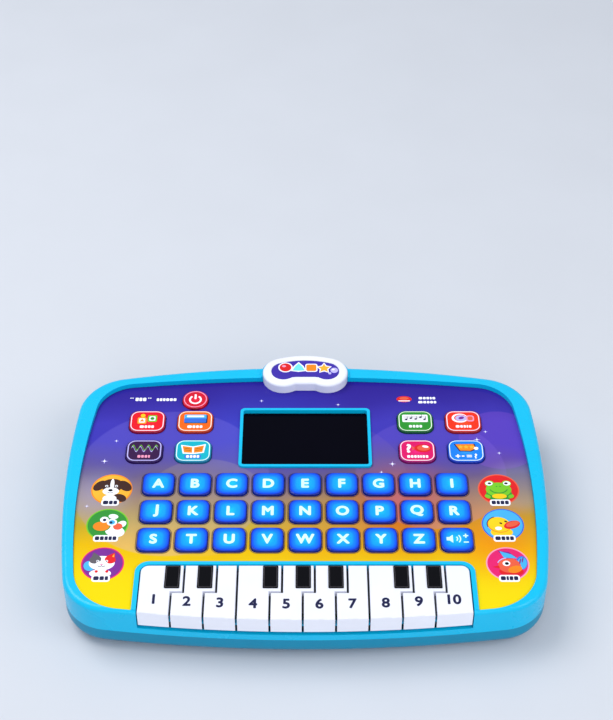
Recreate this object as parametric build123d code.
from build123d import *
import math
import os

# Toy learning computer: a flat pad with letter keys, mode buttons, a small piano and a screen.
# Millimetres, X to the right, Y from the player towards the back, Z up.
# The origin is on the table, under the middle of the pad.

# Housing
overall_width = 250.0
body_depth = 177.0
front_arc_radius = 760.0
back_arc_radius = 560.0
side_arc_radius = 480.0
widest_from_front = 100.0
front_corner_radius = 24.0
back_corner_radius = 27.0
wall = 2.2
floor_thickness = 2.0
under_round = 8.0
parting_height = 14.0
rim_rise_back = 3.0
rim_rise_front = 0.6
rim_round = 2.5
lip_height = 1.5
lip_thickness = 1.0
lip_clearance = 0.15

# Printed face inside the rim
rim_width = 7.2
rim_width_back = 9.0
front_lip = 1.6
face_side_radius = 420.0
face_widest_from_front = 85.0
face_back_radius = 850.0
face_front_corner = 26.0
face_back_corner = 21.0
overlay_thickness = 0.4
overlay_clearance = 0.15
plate_thickness = 2.2

# Battery bay for three AA cells, which sets the height of the circuit board
foot_height = 1.5
cell_diameter = 14.5
cell_length = 50.5
cell_count = 3
cell_clearance = 0.4
contact_space = 6.0
contact_plate = 0.5
contact_width = 10.0
contact_height = 11.0
contact_button_radius = 2.5
spring_radius = 3.2
spring_wire_radius = 0.45
spring_turns = 3
spring_free_height = 4.6
bay_wall = 2.2
bay_roof = 1.0
bay_from_front = 114.6
door_thickness = 1.8
door_rebate = 1.0
door_clearance = 0.2
door_tongue_length = 11.0
door_tongue_width = 12.0
door_pad_height = 3.5
door_tab_width = 6.0
door_tab_length = 2.6
door_tab_thickness = 1.0

# Circuit board and rubber contact mat
board_gap = 0.1
board_thickness = 1.2
board_inset = 8.0
board_from_front = 10.0
board_from_back = 17.0
mat_thickness = 0.8
mat_inset = 1.2
dome_height = 2.7
dome_base_radius = 3.8
dome_top_radius = 2.4
dome_wall = 0.9
chip_radius = 8.0
chip_height = 1.4

# Letter keys
key_pitch = 19.05
key_columns = 9
key_width = 16.4
key_depth = 15.6
key_corner = 3.6
key_rows_from_front = [88.8, 69.7, 50.7]
key_names = [
    ["a", "b", "c", "d", "e", "f", "g", "h", "i"],
    ["j", "k", "l", "m", "n", "o", "p", "q", "r"],
    ["s", "t", "u", "v", "w", "x", "y", "z", "volume"],
]

# Mode buttons and power button
mode_width = 19.5
mode_depth = 16.5
mode_corner = 5.0
mode_inner_x = 59.5
mode_outer_x = 85.4
mode_rows_from_front = [134.8, 112.5]
mode_names = {
    "letter_button": (-1, mode_outer_x, 0),
    "word_button": (-1, mode_inner_x, 0),
    "spell_button": (-1, mode_outer_x, 1),
    "read_button": (-1, mode_inner_x, 1),
    "song_button": (1, mode_inner_x, 0),
    "music_button": (1, mode_outer_x, 0),
    "question_button": (1, mode_inner_x, 1),
    "sums_button": (1, mode_outer_x, 1),
}
power_radius = 7.15
power_x = -60.3
power_from_front = 151.9

# All push buttons
button_rise = 1.4
button_travel = 0.9
button_clearance = 0.3
button_edge_round = 0.8
cap_roof = 1.5
cap_wall = 1.4
flange_width = 0.7
flange_thickness = 1.0
flange_gap = 0.1
post_length = 1.3
post_radius = 2.2

# Piano
white_key_count = 10
white_key_pitch = 16.05
first_key_width = 16.2
last_key_width = 18.4
piano_back_from_front = 34.5
piano_gap = 1.05
jog_offset = 5.9
jog_from_front = 17.4
jog_boundaries = [1, 2, 4, 5, 6, 8, 9]
surround_width = 2.3
surround_back_width = 1.9
surround_rise = 1.0
surround_corner = 5.0
piano_rise = 0.6
piano_roof = 2.0
piano_skirt = 1.2
piano_skirt_depth = 4.1
piano_front_gap = 0.4
piano_front_depth = 9.6
piano_edge_round = 0.5
piano_post_from_front = 20.0
hook_thickness = 1.5
hook_length = 2.4
hook_gap = 0.1
rail_thickness = 1.6
rail_width = 2.4
rail_gap = 0.8
front_wall_gap = 2.2

# Piano hinge
hinge_from_front = 39.0
hinge_drop = 2.4
rod_radius = 1.5
rod_clearance = 0.06
barrel_radius = 2.2
barrel_length = 5.0
bracket_width = 1.6
arm_top_gap = 0.4
arm_thickness = 2.6

# Screen
screen_width = 67.2
screen_depth = 40.8
screen_from_front = 123.1
screen_corner = 1.2
frame_wall = 1.6
frame_rise = 1.2
frame_corner = 2.5
window_recess = 1.2
window_clearance = 0.2
window_flange = 1.5
window_flange_thickness = 1.2
matrix_width = 60.0
matrix_depth = 34.0
matrix_gap = 0.3
matrix_columns = 14
matrix_rows = 8
matrix_pitch = 4.1
matrix_dot_radius = 1.3
matrix_dot_depth = 0.6

# Badge
badge_half_width = 23.6
badge_depth = 25.0
badge_lobe_radius = 11.5
badge_waist = 2.0
badge_waist_round = 3.0
badge_overhang = 6.3
badge_border = 1.0
badge_rise = 6.0
badge_round = 1.6
badge_wall = 1.6
badge_roof = 2.0
badge_clearance = 0.15
badge_recess_margin = 4.6
badge_recess_depth = 0.4
peg_radius = 1.5
peg_spacing = 24.0
peg_clearance = 0.05
peg_length = 4.2
bump_rise = 4.0
bump_edge_round = 0.6
bump_flare = 6.0

# Speaker
speaker_radius = 20.0
speaker_x = -60.0
speaker_from_front = 62.0
speaker_flange = 1.2
speaker_basket_height = 4.5
speaker_basket_radius = 16.5
speaker_neck_radius = 10.5
magnet_radius = 9.0
magnet_height = 4.5
speaker_clearance = 0.3
speaker_ring_wall = 1.4
speaker_ring_height = 4.0
grille_hole_radius = 1.0
grille_pitch = 4.3
grille_rings = 3

# Screws, bosses and feet
screw_radius = 1.3
screw_length = 6.5
screw_head_radius = 2.6
screw_head_height = 1.8
screw_slot_width = 0.8
screw_slot_depth = 0.9
pilot_clearance = 0.03
screw_play = 0.3
boss_radius = 3.5
boss_seat = 3.0
boss_play = 0.4
head_play = 0.4
board_post_radius = 3.2
foot_radius = 6.0
foot_seat = 0.8
foot_clearance = 0.1
foot_round = 0.5

# Levels, from the table up
shell_bottom = foot_height
floor_top = shell_bottom + floor_thickness
bay_floor = shell_bottom + door_thickness
bay_ceiling = floor_top + cell_diameter + cell_clearance / 2
board_bottom = bay_ceiling + bay_roof + board_gap
board_top = board_bottom + board_thickness
mat_top = board_top + mat_thickness
dome_top = mat_top + dome_height
flange_bottom = dome_top + post_length
flange_top = flange_bottom + flange_thickness
plate_bottom = flange_top + flange_gap
plate_top = plate_bottom + plate_thickness
face_top = plate_top + overlay_thickness
button_top = face_top + button_rise
rim_top_back = face_top + rim_rise_back
rim_top_front = face_top + rim_rise_front
bump_top = face_top + bump_rise
piano_top = face_top + piano_rise
piano_front_bottom = piano_top - piano_front_depth
rail_bottom = piano_front_bottom + hook_thickness + hook_gap
hinge_height = plate_bottom - hinge_drop
screw_seat = parting_height - boss_seat

# Places along Y, worked out from the front edge
half_width = overall_width / 2
overall_depth = body_depth + badge_overhang + badge_border
front_edge = -overall_depth / 2
back_edge = front_edge + body_depth
badge_back = back_edge + badge_overhang
badge_front = badge_back - badge_depth
screen_y = front_edge + screen_from_front
bay_y = front_edge + bay_from_front
piano_back = front_edge + piano_back_from_front
hinge_y = front_edge + hinge_from_front
speaker_y = front_edge + speaker_from_front
power_y = front_edge + power_from_front
peg_y = badge_front + badge_lobe_radius

# Sizes worked out from the ones above
piano_width = first_key_width + (white_key_count - 2) * white_key_pitch + last_key_width
bay_length = cell_length + contact_space
bay_depth = cell_count * (cell_diameter + cell_clearance)
boss_places = [
    (side * (half_width - margin), y)
    for side in (-1, 1)
    for margin, y in (
        (24.0, front_edge + 26.0),
        (17.0, front_edge + 98.0),
        (25.0, back_edge - 21.0),
    )
]
board_screw_places = [
    (side * x, y)
    for side in (-1, 1)
    for x, y in ((half_width - 27.0, front_edge + 60.0), (44.0, back_edge - 24.0))
]
foot_places = [
    (side * (half_width - 33.0), y)
    for side in (-1, 1)
    for y in (front_edge + 32.0, back_edge - 35.0)
]
door_screw_place = (bay_length / 2 + door_rebate + door_tongue_length / 2, bay_y)


def slab(sketch, bottom, top):
    """A flat sketch as a solid between two heights."""
    return extrude(Pos(0, 0, bottom) * sketch, amount=top - bottom, dir=(0, 0, 1))


def box_between(x_low, x_high, y_low, y_high, z_low, z_high):
    """A box by its limits."""
    size = (x_high - x_low, y_high - y_low, z_high - z_low)
    centre = ((x_low + x_high) / 2, (y_low + y_high) / 2, (z_low + z_high) / 2)
    return Pos(*centre) * Box(*size)


def rod_along_x(radius, length, y, z):
    """A round bar along X with its middle at X = 0."""
    return Pos(0, y, z) * Rot(0, 90, 0) * Cylinder(radius, length)


def only(shape):
    """The single solid of a shape."""
    return shape.solids().sort_by(SortBy.VOLUME)[-1]


def four_arcs(half, front, back, widest, front_radius, back_radius, side_radius):
    """The space shared by four large circles: a bowed rectangle with sharp corners."""
    shape = Pos(0, front + front_radius) * Circle(front_radius)
    shape &= Pos(0, back - back_radius) * Circle(back_radius)
    shape &= Pos(side_radius - half, widest) * Circle(side_radius)
    shape &= Pos(half - side_radius, widest) * Circle(side_radius)
    return shape


def badge_outline(grow):
    """Two round lobes under one wide arc, with a flat waist between them, grown all round."""
    lobe_x = badge_half_width - badge_lobe_radius
    rise = badge_depth - badge_lobe_radius
    arc_radius = (lobe_x**2 + rise**2 - badge_lobe_radius**2) / (2 * (rise - badge_lobe_radius))
    arc_y = badge_back - arc_radius
    spread = 2 * arc_radius * lobe_x / (peg_y - arc_y)
    fan = make_face(
        Polyline(
            (0, arc_y),
            (spread, arc_y + 2 * arc_radius),
            (-spread, arc_y + 2 * arc_radius),
            close=True,
        )
    )
    shape = fan & (Pos(0, arc_y) * Circle(arc_radius + grow))
    below = Pos(0, badge_front + badge_waist - grow - arc_radius)
    shape -= below * Rectangle(4 * arc_radius, 2 * arc_radius)
    for side in (-1, 1):
        shape += Pos(side * lobe_x, peg_y) * Circle(badge_lobe_radius + grow)
    waist = shape.vertices().sort_by(Axis.Y)[:2]
    return fillet(waist, badge_waist_round - grow)


def body_outline(inset):
    """The housing seen from above without its bump, drawn in all round."""
    shape = four_arcs(
        half_width - inset,
        front_edge + inset,
        back_edge - inset,
        front_edge + widest_from_front,
        front_arc_radius - inset,
        back_arc_radius - inset,
        side_arc_radius - inset,
    )
    shape = fillet(shape.vertices().sort_by(Axis.Y)[:2], front_corner_radius - inset)
    return fillet(shape.vertices().sort_by(Axis.Y)[-2:], back_corner_radius - inset)


def housing_outline(inset):
    """The housing seen from above with the bump behind the badge, drawn in all round."""
    shape = body_outline(inset) + badge_outline(badge_border - inset)
    bump = shape.vertices().filter_by(lambda v: abs(v.X) < half_width / 3 and v.Y > badge_front)
    return fillet(bump.sort_by(Axis.Y)[:2], bump_flare + inset)


def face_outline(inset):
    """The edge of the printed face, inside the rim."""
    shape = four_arcs(
        half_width - rim_width - inset,
        front_edge + front_lip + inset,
        back_edge - rim_width_back - inset,
        front_edge + face_widest_from_front,
        front_arc_radius,
        face_back_radius,
        face_side_radius,
    )
    low = shape.vertices().sort_by(Axis.Y)[:2]
    shape = fillet(low, face_front_corner - inset)
    high = shape.vertices().sort_by(Axis.Y)[-2:]
    return fillet(high, face_back_corner - inset)


def piano_opening(grow_sides, grow_back):
    """The piano's well seen from above, open towards the player."""
    half = piano_width / 2 + grow_sides
    back = piano_back + grow_back
    front = front_edge - wall
    shape = Pos(0, (front + back) / 2) * Rectangle(2 * half, back - front)
    corners = shape.vertices().sort_by(Axis.Y)[-2:]
    return fillet(corners, surround_corner + grow_back)


def key_shape(grow):
    """A letter key seen from above, grown on every side."""
    return RectangleRounded(key_width + 2 * grow, key_depth + 2 * grow, key_corner + grow)


def mode_shape(grow):
    """A mode button seen from above, grown on every side."""
    return RectangleRounded(mode_width + 2 * grow, mode_depth + 2 * grow, mode_corner + grow)


def power_shape(grow):
    """The power button seen from above, grown on every side."""
    return Circle(power_radius + grow)


def buttons():
    """Every push button as its name, its shape and its place."""
    found = []
    for row, names in enumerate(key_names):
        y = front_edge + key_rows_from_front[row]
        for column, name in enumerate(names):
            x = (column - (key_columns - 1) / 2) * key_pitch
            node = "volume_key" if name == "volume" else "letter_key_" + name
            found.append((node, key_shape, x, y))
    for name, (side, x, row) in mode_names.items():
        found.append((name, mode_shape, side * x, front_edge + mode_rows_from_front[row]))
    found.append(("power_button", power_shape, power_x, power_y))
    return found


def push_button(shape, x, y):
    """A hollow cap with a flange that stops it under the face plate, and a post to press with."""
    cap = slab(shape(0), flange_bottom, button_top)
    cap = fillet(cap.faces().sort_by(Axis.Z)[-1].edges(), button_edge_round)
    cap += slab(shape(flange_width), flange_bottom, flange_top)
    cap -= slab(shape(-cap_wall), flange_bottom, button_top - cap_roof)
    cap += slab(Circle(post_radius), dome_top, button_top - cap_roof)
    return Pos(x, y) * only(cap)


def boundary(number):
    """The line between two white keys: X near the player, and X behind the jog."""
    left = -piano_width / 2
    if number == 0:
        return left, left
    if number == white_key_count:
        return -left, -left
    near = left + first_key_width + (number - 1) * white_key_pitch
    far = near + (jog_offset if number in jog_boundaries else 0)
    return near, far


def white_key_plan(number):
    """A white key seen from above: its sides step to the right where a black tile stands."""
    near_left, far_left = (x + piano_gap / 2 for x in boundary(number - 1))
    near_right, far_right = (x - piano_gap / 2 for x in boundary(number))
    jog = front_edge + jog_from_front
    back = piano_back - piano_front_gap
    front = front_edge - wall
    left_jog = jog - piano_gap / 2
    right_jog = jog + piano_gap / 2
    points = [(near_left, front), (near_right, front)]
    if far_right > near_right:
        points += [(near_right, right_jog), (far_right, right_jog)]
    points += [(far_right, back), (far_left, back)]
    if far_left > near_left:
        points += [(far_left, left_jog), (near_left, left_jog)]
    plan = make_face(Polyline(*points, close=True))
    ends = plan.vertices().filter_by(lambda v: abs(v.X) > piano_width / 2 - piano_gap)
    ends = ends.filter_by(lambda v: v.Y > back - piano_gap)
    return fillet(ends, surround_corner - piano_gap) if ends else plan


def piano_key(number):
    """A white key: a hollow bar with a front wall, a stop hook, a post and a hinge barrel."""
    plan = white_key_plan(number)
    front_face = body_outline(piano_front_gap)
    behind_wall = body_outline(piano_front_gap + cap_wall)
    behind_hook = body_outline(piano_front_gap + cap_wall + hook_length)
    skirt_bottom = piano_top - piano_skirt_depth
    key = slab(plan & front_face, skirt_bottom, piano_top)
    key = fillet(key.faces().sort_by(Axis.Z)[-1].edges(), piano_edge_round)
    inside = offset(plan, amount=-piano_skirt) & behind_wall
    key -= slab(inside, skirt_bottom, piano_top - piano_roof)
    key += slab((plan & front_face) - behind_wall, piano_front_bottom, skirt_bottom)
    hook = (plan & behind_wall) - behind_hook
    key += slab(hook, piano_front_bottom, piano_front_bottom + hook_thickness)
    key += piano_key_tail(number)
    return only(key)


def piano_key_tail(number):
    """The arm and hinge barrel behind a white key, and the post over its contact."""
    x = (boundary(number - 1)[1] + boundary(number)[1]) / 2
    half = barrel_length / 2
    arm_top = plate_bottom - arm_top_gap
    arm_front = piano_back - piano_front_gap - piano_skirt - barrel_length / 2
    arm = box_between(
        x - half, x + half, arm_front, hinge_y, arm_top - arm_thickness, arm_top
    )
    barrel = Pos(x, 0, 0) * rod_along_x(barrel_radius, barrel_length, hinge_y, hinge_height)
    bore_radius = rod_radius + rod_clearance
    bore = Pos(x, 0, 0) * rod_along_x(bore_radius, 2 * barrel_length, hinge_y, hinge_height)
    post_place = Pos(x, front_edge + piano_post_from_front)
    post = post_place * slab(Circle(post_radius), dome_top, piano_top - piano_roof)
    return arm + barrel - bore + post


def hinge_rod():
    """The steel rod that all white keys turn on."""
    length = piano_width + 2 * bracket_width
    return rod_along_x(rod_radius, length, hinge_y, hinge_height)


def hinge_brackets():
    """Plates under the face that hold the hinge rod between the keys."""
    half = bracket_width / 2
    reach = barrel_radius
    found = None
    for number in range(white_key_count + 1):
        x = boundary(number)[1]
        bracket = box_between(
            x - half,
            x + half,
            hinge_y - reach,
            hinge_y + reach,
            hinge_height - reach,
            plate_bottom,
        )
        found = bracket if found is None else found + bracket
    bore = rod_along_x(rod_radius + rod_clearance, 2 * piano_width, hinge_y, hinge_height)
    return found - bore


def screen_outline(grow, corner):
    """The screen's rectangle, grown on every side."""
    width = screen_width + 2 * grow
    depth = screen_depth + 2 * grow
    return Pos(0, screen_y) * RectangleRounded(width, depth, corner)


def sloped_top():
    """Everything above the rim, whose top falls from the back to the front."""
    high = rim_top_back + 20
    reach = overall_depth
    slope = (rim_top_back - rim_top_front) / body_depth
    section = make_face(
        Polyline(
            (front_edge - reach, rim_top_front - slope * reach),
            (back_edge + reach, rim_top_back + slope * reach),
            (back_edge + reach, high),
            (front_edge - reach, high),
            close=True,
        )
    )
    placed = Plane.YZ.offset(-overall_width) * section
    return extrude(placed, amount=2 * overall_width)


def housing_rim():
    """The upper housing as a solid block with its rounded, sloping top edge."""
    block = slab(housing_outline(0), parting_height, rim_top_back + 10)
    block = only(block - sloped_top())
    top = block.faces().sort_by(Axis.Z)[-1]
    return fillet(top.edges(), rim_round)


def badge_bump():
    """The raised bed around the back half of the badge."""
    bed = badge_outline(badge_border) - face_outline(0)
    bump = slab(bed, parting_height + wall, bump_top)
    top = bump.faces().sort_by(Axis.Z)[-1]
    return fillet(top.outer_wire().edges(), bump_edge_round)


def front_shell():
    """The upper housing: rim, face plate with its openings, bosses and the piano's well."""
    shell = housing_rim() + badge_bump()
    shell -= slab(housing_outline(wall), parting_height, plate_bottom)
    shell -= slab(face_outline(0), plate_top, bump_top + 1)
    shell += slab(screen_outline(frame_wall, frame_corner), plate_top, face_top + frame_rise)
    surround = piano_opening(surround_width, surround_back_width)
    shell += slab(surround & face_outline(0), plate_bottom, face_top + surround_rise)
    cheeks = piano_opening(surround_width, 0) & body_outline(wall)
    cheek_back = piano_back - surround_corner
    cheeks &= Pos(0, cheek_back - overall_depth / 2) * Rectangle(overall_width, overall_depth)
    shell += slab(cheeks, rail_bottom, plate_bottom)
    for x, y in boss_places:
        shell += Pos(x, y) * slab(Circle(boss_radius), parting_height, plate_bottom)
    for x, y in board_screw_places:
        shell += Pos(x, y) * slab(Circle(board_post_radius), board_top, plate_bottom)
    shell -= slab(piano_opening(0, 0), front_wall_top(), bump_top)
    shell += front_rail()
    shell += hinge_brackets()
    shell -= slab(screen_outline(0, screen_corner), plate_bottom, face_top + frame_rise)
    shell -= slab(badge_outline(badge_clearance), face_top, bump_top)
    for side in (-1, 1):
        hole = slab(Circle(peg_radius + peg_clearance), plate_bottom, face_top)
        shell -= Pos(side * peg_spacing / 2, peg_y) * hole
    for _, shape, x, y in buttons():
        shell -= Pos(x, y) * slab(shape(button_clearance), plate_bottom, plate_top)
    pilot = screw_radius + pilot_clearance
    for x, y in boss_places:
        shell -= Pos(x, y) * slab(Circle(pilot), parting_height, screw_seat + screw_length + 1)
    for x, y in board_screw_places:
        shell -= Pos(x, y) * slab(Circle(pilot), board_top, board_bottom + screw_length + 0.5)
    return only(shell)


def front_wall_top():
    """The height at which the housing's front wall stops below the piano keys."""
    return piano_front_bottom - front_wall_gap


def front_rail():
    """The rail across the piano's well that the keys' hooks stop against."""
    near = piano_front_gap + cap_wall + rail_gap
    rail = body_outline(near) - body_outline(near + rail_width)
    rail &= piano_opening(surround_width, 0)
    return slab(rail, rail_bottom, rail_bottom + rail_thickness)


def face_overlay():
    """The printed sheet on the face plate, cut out around everything that stands through it."""
    sheet = slab(face_outline(overlay_clearance), plate_top, face_top)
    room = overlay_clearance
    opening = piano_opening(surround_width + room, surround_back_width + room)
    sheet -= slab(opening, plate_top, face_top)
    sheet -= slab(screen_outline(frame_wall + room, frame_corner + room), plate_top, face_top)
    for side in (-1, 1):
        hole = slab(Circle(peg_radius + room), plate_top, face_top)
        sheet -= Pos(side * peg_spacing / 2, peg_y) * hole
    for _, shape, x, y in buttons():
        sheet -= Pos(x, y) * slab(shape(button_clearance), plate_top, face_top)
    return only(sheet)


def badge():
    """The raised badge: a hollow shape with a shallow bed on top and two pegs below."""
    body = slab(badge_outline(0), face_top, face_top + badge_rise)
    body = fillet(body.faces().sort_by(Axis.Z)[-1].edges(), badge_round)
    bed = badge_outline(-badge_recess_margin)
    top = face_top + badge_rise
    body -= slab(bed, top - badge_recess_depth, top)
    hollow = badge_outline(-badge_wall)
    roof_bottom = top - badge_recess_depth - badge_roof
    body -= slab(hollow, face_top, roof_bottom)
    for side in (-1, 1):
        peg = slab(Circle(peg_radius), face_top - peg_length, roof_bottom)
        body += Pos(side * peg_spacing / 2, peg_y) * peg
    return only(body)


def display_window():
    """The dark window: it fills the screen opening and stops under the face plate."""
    boss = screen_outline(-window_clearance, screen_corner)
    flange = screen_outline(window_flange, frame_corner)
    window = slab(boss, plate_bottom, face_top - window_recess)
    return only(window + slab(flange, plate_bottom - window_flange_thickness, plate_bottom))


def led_matrix():
    """The dot display under the window, with a grid of round lamp pockets."""
    top = plate_bottom - window_flange_thickness - matrix_gap
    block = Pos(0, screen_y) * slab(Rectangle(matrix_width, matrix_depth), board_top, top)
    dot = slab(Circle(matrix_dot_radius), top - matrix_dot_depth, top)
    dots = GridLocations(matrix_pitch, matrix_pitch, matrix_columns, matrix_rows)
    return only(block - [Pos(0, screen_y) * place * dot for place in dots.locations])


def board_outline(inset):
    """The circuit board seen from above, drawn in from the housing."""
    shape = body_outline(board_inset + inset)
    front = front_edge + board_from_front + inset
    back = back_edge - board_from_back - inset
    band = Pos(0, (front + back) / 2) * Rectangle(2 * overall_width, back - front)
    return shape & band


def circuit_board():
    """The circuit board with holes for the bosses and screws, and its sealed chip."""
    board = slab(board_outline(0), board_bottom, board_top)
    for x, y in boss_places:
        board -= Pos(x, y) * slab(Circle(boss_radius + boss_play), board_bottom, board_top)
    for x, y in board_screw_places:
        board -= Pos(x, y) * slab(Circle(screw_radius + screw_play), board_bottom, board_top)
    chip = slab(Circle(chip_radius), board_bottom - chip_height, board_bottom)
    return only(board + Pos(-speaker_x, speaker_y) * chip)


def dome_places():
    """The place of every contact dome: one under each button and white key."""
    found = [(x, y) for _, _, x, y in buttons()]
    for number in range(1, white_key_count + 1):
        x = (boundary(number - 1)[1] + boundary(number)[1]) / 2
        found.append((x, front_edge + piano_post_from_front))
    return found


def contact_mat():
    """The rubber mat on the board, with a hollow dome under every button and white key."""
    mat = slab(board_outline(mat_inset), board_top, mat_top)
    room = screen_depth / 2 + window_flange
    cut = Rectangle(screen_width + 2 * window_flange, 2 * room)
    mat -= Pos(0, screen_y) * slab(cut, board_top, mat_top)
    for x, y in boss_places:
        mat -= Pos(x, y) * slab(Circle(boss_radius + boss_play), board_top, mat_top)
    for x, y in board_screw_places:
        mat -= Pos(x, y) * slab(Circle(board_post_radius + boss_play), board_top, mat_top)
    centre = (mat_top + dome_top) / 2
    dome = Pos(0, 0, centre) * Cone(dome_base_radius, dome_top_radius, dome_height)
    hollow_height = dome_height + mat_thickness - dome_wall
    hollow = Pos(0, 0, board_top + hollow_height / 2) * Cone(
        dome_base_radius - dome_wall, dome_top_radius - dome_wall, hollow_height
    )
    mat += [Pos(x, y) * dome for x, y in dome_places()]
    return only(mat - [Pos(x, y) * hollow for x, y in dome_places()])


def bay_outline(grow):
    """The battery bay's inside seen from above, grown on every side."""
    return Pos(0, bay_y) * Rectangle(bay_length + 2 * grow, bay_depth + 2 * grow)


def door_outline(grow):
    """The battery door seen from above: the bay's cover and the tongue for its screw."""
    tongue_end = bay_length / 2 + door_rebate + door_tongue_length
    cover = bay_outline(door_rebate + grow)
    tongue_width = door_tongue_width + 2 * grow
    tongue = Pos((tongue_end + grow) / 2, bay_y) * Rectangle(tongue_end + grow, tongue_width)
    return cover + tongue


def door_tabs(room):
    """Two tabs on the door's far edge that slip into the bay's wall."""
    x_high = -bay_length / 2 + door_tab_length / 2
    x_low = -bay_length / 2 - door_tab_length / 2 - room
    found = []
    for side in (-1, 1):
        y = bay_y + side * bay_depth / 4
        half = door_tab_width / 2 + room
        z_low = bay_floor
        z_high = bay_floor + door_tab_thickness + room
        found.append(box_between(x_low, x_high, y - half, y + half, z_low, z_high))
    return found


def battery_door():
    """The battery door, flush with the underside, held by two tabs and one screw."""
    door = slab(door_outline(0), shell_bottom, bay_floor)
    pad_low = bay_length / 2 + door_rebate + door_clearance
    pad_high = bay_length / 2 + door_rebate + door_tongue_length
    half = door_tongue_width / 2
    pad_top = shell_bottom + door_pad_height
    pad_low += bay_wall - door_rebate
    door += box_between(pad_low, pad_high, bay_y - half, bay_y + half, shell_bottom, pad_top)
    door += door_tabs(0)
    x, y = door_screw_place
    head_room = slab(Circle(screw_head_radius + head_play), shell_bottom, door_screw_seat())
    door -= Pos(x, y) * head_room
    door -= Pos(x, y) * slab(Circle(screw_radius + screw_play), shell_bottom, pad_top)
    return only(door)


def door_screw_seat():
    """The height at which the door screw's head bears."""
    return shell_bottom + screw_head_height + 0.2


def speaker_outline(grow):
    """The speaker's round flange seen from above, grown all round."""
    return Pos(speaker_x, speaker_y) * Circle(speaker_radius + grow)


def grille_places():
    """The sound holes: rings of holes around one in the middle."""
    found = [(speaker_x, speaker_y)]
    for ring in range(1, grille_rings + 1):
        for step in range(6 * ring):
            angle = 2 * math.pi * step / (6 * ring)
            x = speaker_x + ring * grille_pitch * math.cos(angle)
            found.append((x, speaker_y + ring * grille_pitch * math.sin(angle)))
    return found


def shell_tray():
    """The lower housing without its fittings: a rounded tray with a lip at the parting line."""
    tray = slab(housing_outline(0), shell_bottom, parting_height)
    tray = fillet(tray.faces().sort_by(Axis.Z)[0].edges(), under_round)
    room = slab(housing_outline(wall), floor_top, parting_height)
    room = fillet(room.faces().sort_by(Axis.Z)[0].edges(), under_round - floor_thickness)
    tray = only(tray - room)
    lip_inside = housing_outline(wall + lip_clearance + lip_thickness)
    lip = housing_outline(wall + lip_clearance) - lip_inside
    root = housing_outline(wall / 2) - lip_inside
    root_top = parting_height - lip_height
    tray += slab(root, root_top - lip_height, root_top)
    return tray + slab(lip, root_top, parting_height + lip_height)


def back_shell():
    """The lower housing: tray, battery bay, screw bosses, speaker ring and grille."""
    shell = shell_tray()
    shell += slab(bay_outline(bay_wall), shell_bottom, bay_ceiling + bay_roof)
    x, y = door_screw_place
    boss_bottom = shell_bottom + door_pad_height
    shell += Pos(x, y) * slab(Circle(boss_radius + 1), boss_bottom, boss_bottom + screw_length)
    brace_low = bay_length / 2 + bay_wall / 2
    brace_half = bay_wall
    shell += box_between(
        brace_low, x, y - brace_half, y + brace_half, boss_bottom, boss_bottom + screw_length
    )
    for x, y in boss_places:
        column = Circle(screw_head_radius + head_play + wall / 2)
        shell += Pos(x, y) * slab(column, floor_top - 1, parting_height)
    ring = speaker_outline(speaker_clearance + speaker_ring_wall)
    ring -= speaker_outline(speaker_clearance)
    shell += slab(ring, floor_top - 1, floor_top + speaker_ring_height)
    return only(back_shell_cuts(shell))


def back_shell_cuts(shell):
    """Opens the bay, the door's seat, the screw holes, the sound holes and the feet's seats."""
    shell -= slab(bay_outline(0), shell_bottom, bay_ceiling)
    shell -= slab(door_outline(door_clearance), shell_bottom, bay_floor)
    pad_low = bay_length / 2 + bay_wall
    pad_high = bay_length / 2 + door_rebate + door_tongue_length + door_clearance
    half = door_tongue_width / 2 + door_clearance
    pad_top = shell_bottom + door_pad_height
    shell -= box_between(pad_low, pad_high, bay_y - half, bay_y + half, shell_bottom, pad_top)
    shell -= door_tabs(door_clearance)
    x, y = door_screw_place
    pilot = slab(Circle(screw_radius + pilot_clearance), shell_bottom, bay_ceiling)
    shell -= Pos(x, y) * pilot
    head_room = slab(Circle(screw_head_radius + head_play), shell_bottom, screw_seat)
    shank_room = slab(Circle(screw_radius + screw_play), shell_bottom, parting_height)
    shell -= [Pos(x, y) * (head_room + shank_room) for x, y in boss_places]
    hole = slab(Circle(grille_hole_radius), shell_bottom, floor_top)
    shell -= [Pos(x, y) * hole for x, y in grille_places()]
    seat = slab(Circle(foot_radius + foot_clearance), shell_bottom, shell_bottom + foot_seat)
    shell -= [Pos(x, y) * seat for x, y in foot_places]
    return shell


def speaker():
    """A small round speaker facing down: flange, basket and magnet."""
    low = floor_top
    profile = [
        (0, low + speaker_flange),
        (speaker_basket_radius - 1, low + 0.4),
        (speaker_basket_radius, low),
        (speaker_radius, low),
        (speaker_radius, low + speaker_flange),
        (speaker_basket_radius, low + speaker_flange),
        (speaker_neck_radius, low + speaker_basket_height),
        (magnet_radius, low + speaker_basket_height),
        (magnet_radius, low + speaker_basket_height + magnet_height),
        (0, low + speaker_basket_height + magnet_height),
    ]
    section = make_face(Plane.XZ * Polyline(*profile, close=True))
    return Pos(speaker_x, speaker_y) * revolve(section, axis=Axis.Z)


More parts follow.
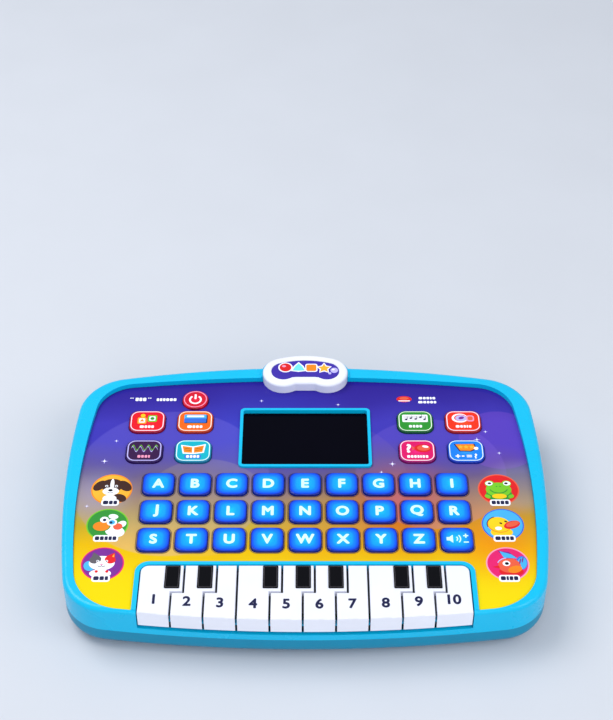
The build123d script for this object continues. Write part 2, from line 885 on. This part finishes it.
def battery_contacts():
    """A contact at each end of each cell: a coil spring at one end, a button at the other."""
    pitch = spring_free_height / spring_turns
    path = Helix(pitch=pitch, height=spring_free_height, radius=spring_radius)
    coil = sweep(Plane(path @ 0, z_dir=path % 0) * Circle(spring_wire_radius), path=path)
    button = Rot(0, 90, 0) * Cylinder(contact_button_radius, 2 * contact_plate)
    plate = Box(contact_plate, contact_width, contact_height)
    z = floor_top + cell_diameter / 2
    found = []
    for cell in range(cell_count):
        y = bay_y + (cell - (cell_count - 1) / 2) * (cell_diameter + cell_clearance)
        side = 1 if cell % 2 else -1
        wall_x = side * bay_length / 2
        inward = side * contact_plate
        coil_place = Pos(wall_x - inward, y, z) * Rot(0, -90 * side, 0)
        found.append(only(Pos(wall_x - inward / 2, y, z) * plate + coil_place * coil))
        far = Pos(inward / 2 - wall_x, y, z) * plate
        found.append(only(far + Pos(inward - wall_x, y, z) * button))
    return Compound(found)


def screw(seat, x, y):
    """A pan-head tapping screw pointing up, with its head under the given height."""
    head = slab(Circle(screw_head_radius), seat - screw_head_height, seat)
    head = fillet(head.faces().sort_by(Axis.Z)[0].edges(), screw_slot_depth / 2)
    shank = slab(Circle(screw_radius), seat, seat + screw_length)
    shank = chamfer(shank.faces().sort_by(Axis.Z)[-1].edges(), screw_radius / 2)
    slot = Rectangle(2 * screw_head_radius - 1.6, screw_slot_width)
    slot += Rectangle(screw_slot_width, 2 * screw_head_radius - 1.6)
    low = seat - screw_head_height
    return Pos(x, y) * only(head + shank - slab(slot, low, low + screw_slot_depth))


def screws():
    """All the screws: six for the housing, four for the board and one for the battery door."""
    found = [screw(screw_seat, x, y) for x, y in boss_places]
    found += [screw(board_bottom, x, y) for x, y in board_screw_places]
    x, y = door_screw_place
    found.append(screw(door_screw_seat(), x, y))
    return Compound(found)


def rubber_feet():
    """Four round feet seated in the underside."""
    foot = slab(Circle(foot_radius), 0, shell_bottom + foot_seat)
    foot = fillet(foot.faces().sort_by(Axis.Z)[0].edges(), foot_round)
    return Compound([only(Pos(x, y) * foot) for x, y in foot_places])


def save(node, shape):
    """Writes one node of the assembly."""
    export_step(shape, "parts/" + node + ".step")


os.makedirs("parts", exist_ok=True)
save("front_shell", front_shell())
save("back_shell", back_shell())
save("face_overlay", face_overlay())
save("badge", badge())
save("display_window", display_window())
save("led_matrix", led_matrix())
save("circuit_board", circuit_board())
save("contact_mat", contact_mat())
save("speaker", speaker())
save("battery_door", battery_door())
save("battery_contacts", battery_contacts())
save("screws", screws())
save("rubber_feet", rubber_feet())
save("key_hinge_rod", hinge_rod())
for node, shape, x, y in buttons():
    save(node, push_button(shape, x, y))
for number in range(1, white_key_count + 1):
    save("piano_key_" + str(number), piano_key(number))
